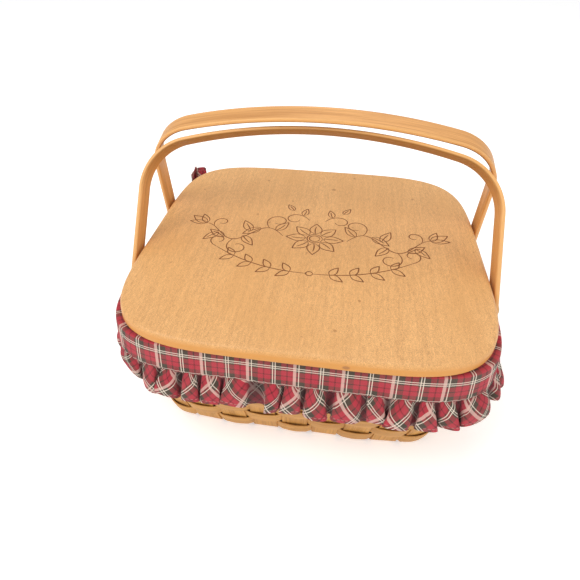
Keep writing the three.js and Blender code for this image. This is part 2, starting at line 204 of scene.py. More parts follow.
def length_property(name, description, millimetres):
    return bpy.props.FloatProperty(
        name=name, description=description, unit="LENGTH", precision=4, min=0.0, default=millimetres * MM)


class BasketSizes(bpy.types.PropertyGroup):
    """Sizes that dress the basket without moving its solids."""

    weaver_bulge: length_property("Weaver bulge", "How far a weaver bows out over a stake", 1.1)
    fold_count: bpy.props.IntProperty(
        name="Ruffle folds", description="Folds in one ruffle", min=4, max=40, default=20)
    fold_depth: length_property("Fold depth", "Depth of a ruffle fold at the hem", 8.4)
    fold_roll: length_property("Fold roll", "How far a fold rolls over its neighbour", 2.1)
    flare: length_property("Ruffle flare", "How far the hem stands out", 4.0)
    cloth_thick: length_property("Cloth thickness", "Thickness of the liner's cloth", 0.6)
    plaid_repeat: length_property("Plaid repeat", "Length after which the plaid repeats", 36.0)
    line_width: length_property("Burnt line", "Width of the lines burnt into the lid", 1.5)


class BasketColours(bpy.types.PropertyGroup):
    """Colours of the finishes."""

    splint: colour_property("Splint", "Wood of the plaited body", (200, 147, 74))
    bentwood: colour_property("Bent wood", "Wood of the rim and the handles", (223, 164, 97))
    lid: colour_property("Lid", "Wood of the lid", (226, 174, 112))
    burnt: colour_property("Burnt line", "Lines burnt into the lid", (122, 68, 24))
    crimson: colour_property("Crimson", "Ground of the plaid", (194, 48, 64))
    dark_red: colour_property("Dark red", "Thin dark line of the plaid", (104, 24, 32))
    grey_green: colour_property("Grey green", "Dark stripes of the plaid", (74, 64, 50))
    cream: colour_property("Cream", "Pale lines of the plaid", (246, 232, 212))
    rose: colour_property("Rose", "Wide pale stripe of the plaid", (233, 190, 176))
    brass: colour_property("Brass", "Rivets, washers, tacks and screws", (190, 150, 84))


def size(name):
    """A size of the dress, in millimetres."""
    return getattr(bpy.context.scene.basket_sizes, name) / MM


def colour(name):
    """A colour of the finishes, with alpha."""
    return (*getattr(bpy.context.scene.basket_colours, name), 1.0)


# Outline and wall


def travelled(path):
    """Distance from the start of a path to each of its points."""
    return np.concatenate([[0.0], np.cumsum(np.linalg.norm(np.diff(path, axis=0), axis=1))])


def unit(vectors):
    return vectors / np.linalg.norm(vectors, axis=-1, keepdims=True)


def spokes(angle):
    """Unit vectors in the plan at some angles."""
    return np.stack([np.cos(angle), np.sin(angle)], -1)


def raised(plan, height):
    """Plan points put at their heights."""
    return np.concatenate([plan, np.broadcast_to(height, plan.shape[:-1])[..., None]], -1)


class Outline:
    """Squarish outline of half-width 1, walked once round from the middle of the front towards +X."""

    def __init__(self, power):
        self.power = power
        self.angles = np.linspace(-np.pi / 2, 1.5 * np.pi, 2881)
        self.walk = travelled(self.points(self.angles))
        self.round = self.walk[-1]

    def points(self, angle):
        """Cosine and sine over the root of their summed powers."""
        spoke = spokes(angle)
        return spoke * (np.abs(spoke) ** self.power).sum(-1, keepdims=True) ** (-1.0 / self.power)

    def place(self, share):
        """Point, outward normal and onward direction after a share of the walk.

        The normal is the gradient of the summed powers.
        """
        point = self.points(np.interp(np.mod(share, 1.0) * self.round, self.walk, self.angles))
        normal = unit(np.sign(point) * np.abs(point) ** (self.power - 1.0))
        return point, normal, np.stack([-normal[..., 1], normal[..., 0]], -1)


WALL = Outline(WALL_POWER)
LID = Outline(LID_POWER)
RIM_ROUND = WALL.round * RIM_HALF


def wall_half(height):
    """Half-width of the wall: it leans out evenly up to the rim's foot and is upright above it."""
    return BASE_HALF + (RIM_HALF - BASE_HALF) * np.clip(height / RIM_FOOT, 0.0, 1.0)


def wall(share, height, out):
    """Point beside the wall: the outline times the half-width there, plus out along the normal."""
    share, height, out = np.broadcast_arrays(share, height, out)
    point, normal = WALL.place(share)[:2]
    return raised(point * wall_half(height)[..., None] + normal * out[..., None], height)


def ease(value, low, high):
    """Smooth step from 0 at low to 1 at high: 3 t squared less 2 t cubed."""
    part = np.clip((value - low) / (high - low), 0.0, 1.0)
    return part * part * (3.0 - 2.0 * part)


def ripple(along, seed, waves):
    """Uneven wave between about -1 and 1: three sines whose rates have no common measure."""
    first = np.sin(along * waves + seed * 1.7)
    second = np.sin(along * waves * 1.618 + seed * 2.9 + 1.0)
    third = np.sin(along * waves * 0.577 + seed * 4.1 + 2.0)
    return (first + 0.7 * second + 0.6 * third) / 2.3


# Meshes


class Grid:
    """Points on rows and columns, with what is closed and where the pattern lies on it.

    ring closes the rows on themselves, tube closes the columns, and capped closes both ends of a
    tube. flat holds two numbers for each point in metres, or is left out and follows the lengths
    from a start. crease says how deep in a fold each point of gathered cloth lies, from 0 to 1, which
    sets the painted shade there.
    """

    def __init__(self, points, ring=False, tube=True, capped=True, flat=None, start=0.0, crease=None):
        self.points = np.asarray(points, float)
        self.ring = ring
        self.tube = tube
        self.capped = capped and tube and not ring
        self.flat = flat
        self.start = start
        self.crease = crease

    def faces(self):
        """Quads, their pattern and the caps, wound so that a closed form has a positive volume."""
        rows, columns = self.points.shape[:2]
        row, column = np.meshgrid(
            np.arange(rows if self.ring else rows - 1),
            np.arange(columns if self.tube else columns - 1), indexing="ij")
        corner_rows = np.stack([row, row, row + 1, row + 1], -1).reshape(-1, 4)
        corner_columns = np.stack([column, column + 1, column + 1, column], -1).reshape(-1, 4)
        quads = corner_rows % rows * columns + corner_columns % columns
        if self.flat is None:
            middles = self.points.mean(axis=1)
            section = self.points[rows // 2]
            down = travelled(np.concatenate([middles, middles[:1]])) * MM + self.start
            over = travelled(np.concatenate([section, section[:1]])) * MM
            pattern = np.stack([down[corner_rows], over[corner_columns]], -1)
        else:
            pattern = self.flat.reshape(-1, 2)[quads]
        flat_points = self.points.reshape(-1, 3)
        a, b, c, d = (flat_points[quads[:, index]] for index in range(4))
        volume = (a * (np.cross(b, c) + np.cross(c, d))).sum()
        ends = []
        if self.capped:
            ends = [list(range(columns))[::-1], [(rows - 1) * columns + index for index in range(columns)]]
        if self.tube and volume < 0.0:
            quads = quads[:, ::-1]
            pattern = pattern[:, ::-1]
            ends = [end[::-1] for end in ends]
        return quads, pattern, ends


def build(name, grids, finish, body, nodes=(), thick=None):
    """One object over some grids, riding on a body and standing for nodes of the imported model."""
    points, faces, pattern = [], [], []
    count = 0
    for grid in grids:
        quads, flat, ends = grid.faces()
        faces += (quads + count).tolist()
        faces += [[index + count for index in end] for end in ends]
        pattern.append(flat.reshape(-1, 2))
        pattern.append(np.repeat(flat[:1, 0], sum(len(end) for end in ends), axis=0))
        points.append(grid.points.reshape(-1, 3))
        count += len(points[-1])
    mesh = bpy.data.meshes.new(name)
    mesh.from_pydata(np.concatenate(points) * MM, [], faces)
    layer = mesh.uv_layers.new(name="lay")
    layer.data.foreach_set("uv", np.concatenate(pattern).astype(np.float32).ravel())
    mesh.polygons.foreach_set("use_smooth", np.ones(len(faces), dtype=bool))
    mesh.validate()
    mesh.materials.append(finish)
    # depth in a fold for each point, which sets the painted shade in the creases
    creases = [grid.crease.ravel() for grid in grids if grid.crease is not None]
    if creases:
        depth = mesh.attributes.new("crease", "FLOAT", "POINT")
        depth.data.foreach_set("value", np.concatenate(creases).astype(np.float32))
    piece = bpy.data.objects.new(name, mesh)
    bpy.context.scene.collection.objects.link(piece)
    if thick:
        shell = piece.modifiers.new("Cloth thickness", "SOLIDIFY")
        shell.thickness = thick * MM
        shell.offset = 0.0
    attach(piece, body)
    if nodes:
        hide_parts(*nodes)
    return piece


def strip_section(width, thick, round_off, crown=0.0):
    """Rounded strip section: quarter circles at the corners, flats between, crowned on the outer face."""
    corner = spokes(np.linspace(0.0, np.pi / 2, 3)) * round_off
    middle = np.array([width / 2 - round_off, thick / 2 - round_off])
    flat = np.array([0.9, 0.45, 0.0, -0.45, -0.9]) * middle[0]
    rise = 1.0 - (flat / middle[0]) ** 2

    def half(bow):
        """Half of the section, its flat bowed out as a parabola."""
        over = np.stack([flat, thick / 2 + bow * rise], -1)
        return np.concatenate([corner + middle, over, corner[::-1] * [-1, 1] + middle * [-1, 1]])

    return np.concatenate([half(crown), -half(0.0)])


def sweep(path, across, through, section):
    """Section carried along a path: its two numbers times the across and through vectors there."""
    return path[:, None] + section[None, :, :1] * across[:, None] + section[None, :, 1:] * through[:, None]


def lathe(profile, steps, centre, axis):
    """Profile of radius and height turned about an axis through a point, as rings of steps points."""
    profile = np.asarray(profile, float)
    axis = np.asarray(axis, float)
    side = np.array([axis[1], axis[2], axis[0]])
    other = np.cross(axis, side)
    turn = np.linspace(0.0, 2 * np.pi, steps, endpoint=False)
    spoke = np.cos(turn)[:, None] * side + np.sin(turn)[:, None] * other
    return centre + profile[:, None, :1] * spoke[None] + profile[:, None, 1:] * axis


def dome(radius, height):
    """Profile of a low domed head: a foot below its seat and a quarter ellipse, closed near the axis."""
    tip = radius * 0.02
    arc = spokes(np.linspace(0.0, np.pi / 2, 7)) * [radius, height]
    arc[-1, 0] = tip
    return np.concatenate([[[tip, -HEAD_FOOT], [radius, -HEAD_FOOT]], arc])


# Finishes


def paired(operation):
    """A Math operation on a wire and a value, and its reflected form."""
    def forward(self, value):
        return self.step(operation, self, value)

    def reflected(self, value):
        return self.step(operation, value, self)

    return forward, reflected


class Wire:
    """Output of a node. Sums and products of wires add Math nodes."""

    def __init__(self, finish, socket):
        self.finish = finish
        self.socket = socket

    def other(self, name):
        return Wire(self.finish, self.socket.node.outputs[name])

    def step(self, operation, *values):
        return self.finish.node("ShaderNodeMath", {"operation": operation}, dict(enumerate(values)))

    __add__, __radd__ = paired("ADD")
    __sub__, __rsub__ = paired("SUBTRACT")
    __mul__, __rmul__ = paired("MULTIPLY")
    __truediv__, __rtruediv__ = paired("DIVIDE")
    __pow__, __rpow__ = paired("POWER")

    def sine(self):
        return self.step("SINE", self)

    def fraction(self):
        return self.step("FRACT", self)

    def size(self):
        return self.step("ABSOLUTE", self)

    def between(self, low, high):
        """Smooth step from 0 at low to 1 at high."""
        return self.finish.node(
            "ShaderNodeMapRange", {"interpolation_type": "SMOOTHSTEP"}, {0: self, 1: low, 2: high})


class Finish:
    """Node tree of one material."""

    def __init__(self, name):
        self.material = bpy.data.materials.new(name)
        self.material.use_nodes = True
        self.tree = self.material.node_tree
        self.tree.nodes.clear()

    def node(self, kind, settings=None, inputs=None, output=0):
        """Adds a node: its settings first, then the values or links of its sockets."""
        made = self.tree.nodes.new(kind)
        for key, value in (settings or {}).items():
            if key == "stops":
                self.set_stops(made.color_ramp, value)
            else:
                setattr(made, key, value)
        for key, value in (inputs or {}).items():
            if isinstance(value, Wire):
                self.tree.links.new(value.socket, made.inputs[key])
            else:
                made.inputs[key].default_value = value
        return Wire(self, made.outputs[output]) if made.outputs else None

    @staticmethod
    def set_stops(ramp, stops):
        ramp.interpolation = "CONSTANT"
        while len(ramp.elements) > 1:
            ramp.elements.remove(ramp.elements[-1])
        for index, (position, tone) in enumerate(stops):
            element = ramp.elements[0] if index == 0 else ramp.elements.new(position)
            element.position = position
            element.color = tone

    def axes(self, output):
        """Three numbers of a texture coordinate."""
        whole = self.node("ShaderNodeTexCoord", None, None, output)
        first = self.node("ShaderNodeSeparateXYZ", None, {0: whole})
        return first, first.other("Y"), first.other("Z")

    def noise(self, x, y, z, detail=3.0, rough=0.5, warp=0.0):
        """Cloudy noise at numbers that are already scaled."""
        where = self.node("ShaderNodeCombineXYZ", None, {0: x, 1: y, 2: z})
        return self.node("ShaderNodeTexNoise", None, {
            "Vector": where, "Scale": 1.0, "Detail": detail, "Roughness": rough, "Distortion": warp})

    def mix(self, factor, first, second):
        """Colour between two colours."""
        return self.node("ShaderNodeMix", {"data_type": "RGBA"}, {0: factor, 6: first, 7: second}, 2)

    def surface(self, base, roughness, height=None, depth=0.0, **sockets):
        """Closes the tree with one shader, and a bump of some depth in metres where height is given."""
        inputs = {"Base Color": base, "Roughness": roughness}
        inputs.update({key.replace("_", " "): value for key, value in sockets.items()})
        if height is not None:
            inputs["Normal"] = self.node(
                "ShaderNodeBump", None, {"Strength": 1.0, "Distance": depth, "Height": height})
        shader = self.node("ShaderNodeBsdfPrincipled", None, inputs)
        self.node("ShaderNodeOutputMaterial", None, {"Surface": shader})
        return self.material


def shade(base, *factors):
    """A colour made lighter or darker, by one factor or by one for each of its parts."""
    return (*(np.array(base[:3]) * factors).tolist(), 1.0)


def strip_wood(name, base, roughness, wide=0.0):
    """Wood of a strip, with its grain along the strip: long streaks, broad bands and short pores.

    Where a width is given, the pattern's second number tells the polished outer face and its edges,
    up to that width and a little more, from the inner face. The edges are painted paler as a painted
    highlight, and the inner face is painted darker under the crown as painted shade.
    """
    finish = Finish(name)
    along, across = finish.axes("UV")[:2]
    streaks = finish.noise(along * 16.0, across * 900.0, 0.0, 4.0, 0.6)
    bands = finish.noise(along * 5.0, across * 110.0, 3.0, 2.0)
    pores = finish.noise(along * 160.0, across * 3800.0, 7.0, 2.0).between(0.62, 0.74)
    tone = (0.6 * streaks + 0.4 * bands).between(0.36, 0.64)
    ground = finish.mix(tone, shade(base, 0.76, 0.66, 0.5), shade(base, 1.12))
    flecked = finish.mix(pores * 0.4, ground, shade(base, 0.5, 0.36, 0.22))
    if wide:
        def past(start, end):
            """Smooth step over the walk round the section, in millimetres."""
            return across.between(start * MM, end * MM)

        inner = past(wide + 2.4, wide + 3.6) * past(2 * wide + 2.4, 2 * wide + 1.4)
        # painted highlight: the edges of the outer face are made paler, where light catches them
        edges = past(wide - 1.6, wide - 0.4) * past(wide + 3.2, wide + 2.4)
        edges = edges + past(2 * wide + 1.4, 2 * wide + 2.2)
        # painted shade: the inner face is made darker under the crown
        inner_shade = inner * finish.axes("Object")[2].between(0.17, 0.225)
        flecked = finish.mix(inner_shade * 0.85, flecked, shade(base, 0.4, 0.32, 0.15))
        flecked = finish.mix(edges * 0.5, flecked, shade(base, 1.2, 1.32, 1.45))
    gloss = roughness + 0.14 * streaks
    return finish.surface(
        flecked, gloss, streaks - 0.5 * pores, 0.00012, Coat_Weight=0.08, Coat_Roughness=0.35)


def lid_wood():
    """Wood of the lid: fine short grain and faint long lines from front to back, and broad clouds.

    It gets painted shade: darker and more orange down the rounded edge, and darker at the foot.
    Small specks are scattered on it, and a knot on the front edge and the pin knots on top are spots
    round their middles, whose rough edges come from the grain.
    """
    finish = Finish("lid_wood")
    base = colour("lid")
    x, y, z = finish.axes("Object")
    fibre = finish.noise(x * 760.0, y * 190.0, z * 760.0, 4.0, 0.65)
    speckle = finish.noise(x * 1700.0, y * 1150.0, z * 1700.0, 3.0, 0.75)
    lines = finish.noise(x * 340.0, y * 11.0, z * 340.0, 2.0).between(0.35, 0.65)
    clouds = finish.noise(x * 14.0, y * 9.0, z * 14.0, 3.0, 0.55, 0.4).between(0.38, 0.68)
    specks = finish.noise(x * 95.0, y * 80.0, 4.0, 1.0).between(0.74, 0.8)
    # painted shade: the rounded edge grows darker and more orange from its top downwards, and the foot is
    # darker
    edge = z.between((LID_TOP - 0.3) * MM, (LID_TOP - 5.5) * MM)
    foot = z.between((LID_BOTTOM + 2.6) * MM, LID_BOTTOM * MM)
    grain = 0.88 * (0.28 * fibre + 0.72 * speckle).between(0.34, 0.66) + 0.12 * lines

    def spot(aside, ahead, rough, outer, inner):
        """Round mark whose edge the grain roughens, in millimetres."""
        away = (aside * aside + ahead * ahead) ** 0.5 + rough * MM * (speckle - 0.5)
        return away.between(outer * MM, inner * MM)

    knot = spot((x - KNOT_X * MM) / 3.6, (z - KNOT_Z * MM) / 2.2, 0.4, 1.1, 0.5)
    knot = knot * y.between(-0.155, -0.158)
    pins = 0.0
    for across, along, radius in PIN_KNOTS:
        pins = pins + spot(x - across * MM, y - along * MM, 1.2, 1.4 * radius, 0.6 * radius)
    marks = (specks * 0.5 + knot * 0.7 + pins * 0.55).between(0.0, 1.0)
    tone = finish.mix(grain, shade(base, 0.64, 0.56, 0.48), shade(base, 1.28))
    # the clouds and marks are the wood's own colour; the edge and foot masks are painted shade
    for mask, factors in (
            (clouds * 0.4, (0.9, 0.8, 0.64)), (edge * 0.9, (0.86, 0.64, 0.22)),
            (foot * 0.55, (0.62, 0.42, 0.2)), (marks, (0.45, 0.3, 0.16))):
        tone = finish.mix(mask, tone, shade(base, *factors))
    return finish.surface(tone, 0.44 + 0.16 * fibre, fibre, 0.0001, Coat_Weight=0.1, Coat_Roughness=0.4)


def burnt_line():
    """Burnt line: dark brown that breaks up a little along the line."""
    finish = Finish("burnt_line")
    base = colour("burnt")
    x, y = finish.axes("Object")[:2]
    broken = finish.noise(x * 420.0, y * 420.0, 0.0, 3.0).between(0.35, 0.65)
    return finish.surface(finish.mix(broken, shade(base, 0.7), shade(base, 1.3)), 0.7)


def plaid_cloth(name, stitch_at=None, bias=False):
    """Woven plaid: one order of stripes along and across the cloth, mixed thread by thread.

    Each set of stripes is a ramp over the fraction of a repeat. Its alpha is the weight of the
    stripe, most on the pale lines, and a spot takes the crossing stripe's share of the two
    weights. A row of stitches runs at a distance across the cloth, or down from the seam on cloth
    that is cut on the bias. That cloth is gathered, and its creases get painted shade.
    """
    finish = Finish(name)
    repeat = size("plaid_repeat") * MM
    along, across = finish.axes("UV")[:2]
    widths = np.array([width for width, tone in PLAID])
    starts = (np.cumsum(widths) - widths) / widths.sum()
    stops = [
        (float(start), (*colour(tone)[:3], STRIPE_WEIGHT.get(tone, PLAIN_WEIGHT)))
        for start, (width, tone) in zip(starts, PLAID)]

    def stripes(position):
        """Ramp of the stripes over the fraction of a repeat."""
        return finish.node(
            "ShaderNodeValToRGB", {"stops": stops}, {0: (position / repeat + WHOLE_REPEATS).fraction()})

    warp = stripes(along)
    weft = stripes(across + WEFT_START * MM)
    weft_weight = weft.other("Alpha")
    share = weft_weight / (weft_weight + warp.other("Alpha"))
    twill = ((along + across) * 5200.0).sine()
    thread = (along * 7800.0).sine() * (across * 7800.0).sine()
    woven = finish.mix((share + 0.08 * twill).between(0.0, 1.0), warp, weft)
    worn = finish.noise(along * 45.0, across * 45.0, 0.0, 3.0).between(0.25, 0.8)
    washed = finish.mix(worn * 0.06, woven, colour("rose"))
    threaded = finish.mix(thread.between(-1.0, 1.0) * 0.12, washed, (0.03, 0.01, 0.015, 1.0))
    height = thread + 0.5 * twill
    if stitch_at is not None:
        run, depth = along, across
        if bias:
            run, depth = (along + across) * np.sqrt(0.5), (along - across) * np.sqrt(0.5)
        away = (depth - stitch_at * MM).size()
        dash = (run / (STITCH * MM) + WHOLE_REPEATS).fraction().between(0.62, 0.58)
        stitch = dash * away.between(0.42 * MM, 0.3 * MM)
        threaded = finish.mix(stitch * 0.3, threaded, colour("rose"))
        height = height + 3.0 * stitch - 2.0 * away.between(0.9 * MM, 0.3 * MM)
    if bias:
        # painted shade: the cloth is made nearly black where it lies deep in a crease
        crease = finish.node("ShaderNodeAttribute", {"attribute_name": "crease"}, None, "Fac")
        threaded = finish.mix(crease * 0.85, threaded, (0.03, 0.004, 0.006, 1.0))
    return finish.surface(threaded, 0.92, height, 0.00012, Sheen_Weight=0.06, Sheen_Roughness=0.5)


def dull_brass():
    """Dull brass with darker clouds and fine scratches."""
    finish = Finish("dull_brass")
    base = colour("brass")
    x, y, z = finish.axes("Object")
    clouds = finish.noise(x * 260.0, y * 260.0, z * 260.0, 4.0).between(0.3, 0.7)
    scratches = finish.noise(x * 900.0, y * 6000.0, z * 900.0, 2.0)
    tone = finish.mix(clouds, shade(base, 0.6), base)
    return finish.surface(tone, 0.28 + 0.22 * clouds, scratches, 0.00003, Metallic=1.0)


def pale_floor():
    """Plain pale floor, a little uneven in its sheen."""
    finish = Finish("pale_floor")
    x, y = finish.axes("Object")[:2]
    cloud = finish.noise(x * 2.0, y * 2.0, 0.0)
    white = (0.93, 0.93, 0.93, 1.0)
    return finish.surface(white, 0.8 + 0.1 * cloud, Emission_Color=white, Emission_Strength=0.42)


# Pieces


def stake_grid(front, run_axis, over, start):
    """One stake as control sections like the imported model's, resampled, smoothed and swept.

    From the rim down the wall, through a bend, across the floor over and under the stakes it
    crosses, and up the opposite wall. On the wall the section follows the outline, so that the
    corner stakes are cupped.
    """
    rear = (STAKES / 2 - front) if run_axis == 1 else (1.5 * STAKES - front)
    if run_axis == 0:
        front, rear = rear, front
    run = np.eye(3)[run_axis]
    axis = np.eye(3)[1 - run_axis]
    down = np.array([0.0, 0.0, -1.0])
    crossed = np.arange(SIDE_STAKES) - SIDE_STAKES // 2 + (SIDE_STAKES if run_axis == 1 else 0)
    stations = WALL.place(crossed / STAKES)[0][:, run_axis] * BASE_HALF

    def side(stake):
        """Middles and directions of the sections down one wall and round its bend."""
        point, normal, onward = (np.append(part, 0.0) for part in WALL.place(np.array(stake / STAKES)))
        tangent = onward * np.sign(onward @ axis)
        heights = np.array([RIM_TOP, RIM_FOOT, FLOOR_MIDDLE + STAKE_BEND])
        path = [point * wall_half(height) + [0, 0, height] for height in heights]
        aside = [tangent] * 3
        outward = [normal] * 3
        for turn, share in ((np.pi / 4, 1.0), (0.0, 0.5)):
            foot = point * BASE_HALF + normal * STAKE_BEND * (np.sin(turn) - 1.0)
            path.append(foot + [0, 0, FLOOR_MIDDLE + STAKE_BEND * (1.0 - np.cos(turn))])
            aside.append(axis * (1.0 - share) + tangent * share)
            outward.append(normal * np.sin(turn) + down * np.cos(turn))
        return path, aside, outward

    path, aside, outward = side(front)
    back = side(rear)
    line = axis * (WALL.place(np.array(front / STAKES))[0][1 - run_axis] * BASE_HALF)
    lift = FLOOR_LIFT * over * np.where(np.arange(SIDE_STAKES) % 2 == 0, 1.0, -1.0)
    for station, rise in zip(stations, lift):
        for edge in (-STAKE_WIDTH / 2, STAKE_WIDTH / 2):
            path.append(line + run * (station + edge) + [0, 0, FLOOR_MIDDLE + rise])
            aside.append(axis)
            outward.append(down)
    path, aside, outward = (
        np.array(list(part) + list(end)[::-1]) for part, end in zip((path, aside, outward), back))
    travel = travelled(path)
    fine = np.linspace(0.0, travel[-1], 230)

    def smooth(values):
        """Values at even steps, averaged with their neighbours by the weights 1, 2 and 1."""
        dense = np.stack([np.interp(fine, travel, values[:, part]) for part in range(3)], -1)
        kernel = np.array([1.0, 2.0, 1.0]) / 4.0
        padded = np.concatenate([dense[:1], dense, dense[-1:]])
        return np.stack([np.convolve(padded[:, part], kernel, "valid") for part in range(3)], -1)

    path = smooth(path)
    section = strip_section(STAKE_WIDTH, STAKE_THICK, STAKE_EDGE)
    swept = sweep(path, smooth(aside), unit(smooth(outward)), section)
    height = path[:, 2:]
    first = (np.arange(len(path)) < len(path) / 2)[:, None]
    stake = np.where(first, front, rear)
    onward = WALL.place(stake / STAKES)[2][..., 1 - run_axis]
    around = section[None, :, 0] * np.sign(onward) / (WALL.round * wall_half(height))
    cupped = wall(stake / STAKES + around, height, section[None, :, 1])
    weight = ease(height, *CUPPED)[..., None]
    return Grid(swept * (1.0 - weight) + cupped * weight, start=start)


def weaver_grid(row):
    """One weaver: a ring whose offset swings between the stakes and bows out over every second one.

    The offset is a steep cosine of the stake count, clipped to a plateau, plus the squared
    positive half of that cosine times the bulge.
    """
    share = np.arange(STRIDES) / STRIDES
    swing = np.cos(np.pi * (share * STAKES + row))
    plateau = np.sin(np.pi / 2 * np.clip(2.4 * swing, -1.0, 1.0))
    uneven = 1.0 + 0.25 * ripple(share * 2 * np.pi, row, 7.0)
    out = WEAVER_OUT * plateau + size("weaver_bulge") * uneven * np.clip(swing, 0.0, 1.0) ** 2
    sway = 0.25 * ripple(share * 2 * np.pi, row + 3.0, 5.0)
    low = ROWS_FOOT + row * ROW_PITCH + sway
    foot = wall(share, low - ROW_TUCK / 2, out)
    head = wall(share, low + ROW_PITCH - ROW_GAP + ROW_TUCK / 2, out)
    rise = unit(head - foot)
    normal = raised(WALL.place(share)[1], 0.0)
    outward = unit(normal - rise * (normal * rise).sum(-1, keepdims=True))
    section = strip_section(ROW_PITCH - ROW_GAP + ROW_TUCK, WEAVER_THICK, WEAVER_EDGE, WEAVER_CROWN)
    return Grid(sweep((foot + head) / 2, rise, outward, section), ring=True, start=row * ROW_GRAIN)


class BASKET_OT_splints(bpy.types.Operator):
    """Plaited floor and walls: eighteen stakes and seven weavers"""

    bl_idname = "basket.splints"
    bl_label = "Splints"

    def execute(self, context):
        finish = strip_wood("splint", colour("splint"), 0.5)
        for index in range(SIDE_STAKES):
            over = 1.0 if index % 2 == 0 else -1.0
            for run_axis, label, sign, middle in (
                    (1, "front_back", 1.0, 0), (0, "left_right", -1.0, SIDE_STAKES)):
                name = f"{label}_{index + 1}"
                start = (index + 10 * run_axis) * STAKE_GRAIN
                grid = stake_grid(middle + index - SIDE_STAKES // 2, run_axis, over * sign, start)
                build(f"splint_{name}", [grid], finish, "basket", [f"stake_{name}"])
        for row in range(WEAVERS):
            grid = weaver_grid(row)
            build(f"splint_row_{row + 1}", [grid], finish, "basket", [f"weaver_{row + 1}"])
        return {"FINISHED"}


class BASKET_OT_rim(bpy.types.Operator):
    """Rim: an outer and an inner bent band, with tacks through the bare sides"""

    bl_idname = "basket.rim"
    bl_label = "Rim"

    def execute(self, context):
        finish = strip_wood("rim_wood", colour("bentwood"), 0.42)
        share = np.arange(STRIDES)[:, None] / STRIDES
        section = strip_section(RIM_TOP - RIM_FOOT, RIM_THICK, RIM_EDGE)
        height = (RIM_TOP + RIM_FOOT) / 2 + section[None, :, 0]
        for name, out in (("rim_outer", RIM_OUT), ("rim_inner", -RIM_OUT)):
            band = Grid(wall(share, height, out + section[None, :, 1]), ring=True)
            build(f"band_{name}", [band], finish, "basket", [name])
        tacks = []
        for middle in (SIDE_STAKES, 3 * SIDE_STAKES):
            for aside, level in TACKS:
                point, normal = WALL.place(np.array((middle + aside) / STAKES))[:2]
                axis = np.append(normal, 0.0)
                centre = np.append(point * RIM_HALF, level) + axis * (RIM_OUT + RIM_THICK / 2)
                tacks.append(Grid(lathe(dome(*TACK), 14, centre, axis)))
        build("rim_tacks", tacks, dull_brass(), "basket")
        return {"FINISHED"}


def handle_bends():
    """Heights above the pivots of the crown's centre and of the shoulders' centres, whose arcs touch."""
    crown = HANDLE_REACH - CROWN_RADIUS
    return crown, crown + np.sqrt((CROWN_RADIUS - SHOULDER_RADIUS) ** 2 - SHOULDER_X ** 2)


def handle_grid(pivot_y, lean):
    """Bent strip: legs with half-round feet, shoulder arcs and a shallow crown arc.

    The foot's width follows a half circle below the pivot, the section rides on the arcs' radii,
    and the whole is leaned about the pivots.
    """
    crown_centre, shoulder_h = handle_bends()
    meet = np.arctan2(shoulder_h - crown_centre, SHOULDER_X)
    half = HANDLE_WIDTH / 2
    foot = -half * np.cos(np.linspace(0.03, np.pi / 2, 12))
    leg = np.concatenate([foot, np.linspace(0.0, shoulder_h, 26)[1:]])
    shoulder = np.linspace(0.0, meet, 30)[1:]
    crown = np.linspace(meet, np.pi / 2, 40)[1:]
    x = np.concatenate([
        np.full(len(leg), HANDLE_SPAN), SHOULDER_X + SHOULDER_RADIUS * np.cos(shoulder),
        CROWN_RADIUS * np.cos(crown)])
    h = np.concatenate([
        leg, shoulder_h + SHOULDER_RADIUS * np.sin(shoulder), crown_centre + CROWN_RADIUS * np.sin(crown)])
    turn = np.concatenate([np.zeros(len(leg)), shoulder, crown])
    wide = np.sqrt(np.clip(1.0 - (np.minimum(h, 0.0) / half) ** 2, 0.0, 1.0))
    x, h, turn, wide = (np.concatenate([right, left[-2::-1]]) for right, left in (
        (x, -x), (h, h), (turn, np.pi - turn), (wide, wide)))
    tilt = np.radians(lean)
    right = np.array([1.0, 0.0, 0.0])
    up = np.array([0.0, np.sin(tilt), np.cos(tilt)])
    aside = np.array([0.0, np.cos(tilt), -np.sin(tilt)])
    path = np.array([0.0, pivot_y, PIVOT_Z]) + x[:, None] * right + h[:, None] * up
    outward = np.cos(turn)[:, None] * right + np.sin(turn)[:, None] * up
    section = strip_section(HANDLE_WIDTH, HANDLE_THICK, HANDLE_EDGE)
    return Grid(sweep(path, wide[:, None] * aside, outward, section), start=pivot_y)


class BASKET_OT_handles(bpy.types.Operator):
    """Two bent handles with their rivets and washers"""

    bl_idname = "basket.handles"
    bl_label = "Handles"

    def execute(self, context):
        wood = strip_wood("handle_wood", colour("bentwood"), 0.4, HANDLE_WIDTH)
        brass = dull_brass()
        seat = HANDLE_SPAN + HANDLE_THICK / 2 + RIVET_GAP - PIVOT_WALL
        shank = [[0.05, RIVET_END], [RIVET_SHANK, RIVET_END], [RIVET_SHANK, seat]]
        rivet = np.concatenate([shank, dome(*RIVET_HEAD)[1:] + [0.0, seat + HEAD_FOOT]])
        inside, outside = WASHER_FACES
        shoulder = WASHER_RADIUS - WASHER_EDGE
        washer = [
            [WASHER_HOLE, inside], [shoulder, inside], [WASHER_RADIUS, inside + WASHER_EDGE],
            [WASHER_RADIUS, outside - 0.4], [shoulder, outside], [WASHER_HOLE, outside]]
        for end, y, lean in (("front", -PIVOT_Y, FRONT_LEAN), ("rear", PIVOT_Y, REAR_LEAN)):
            strip = handle_grid(y, lean)
            build(f"bent_handle_{end}", [strip], wood, f"{end}_handle", [f"handle_{end}"])
            for hand, sign in (("right", 1.0), ("left", -1.0)):
                spot = f"{end}_{hand}"
                axis = np.array([sign, 0.0, 0.0])
                foot = np.array([sign * PIVOT_WALL, y, PIVOT_Z])
                head = Grid(lathe(rivet, 28, foot, axis))
                disc = Grid(lathe(washer, 32, foot, axis), ring=True)
                build(f"rivet_head_{spot}", [head], brass, "basket", [f"rivet_{spot}"])
                build(f"washer_disc_{spot}", [disc], brass, "basket", [f"washer_{spot}"])
        return {"FINISHED"}


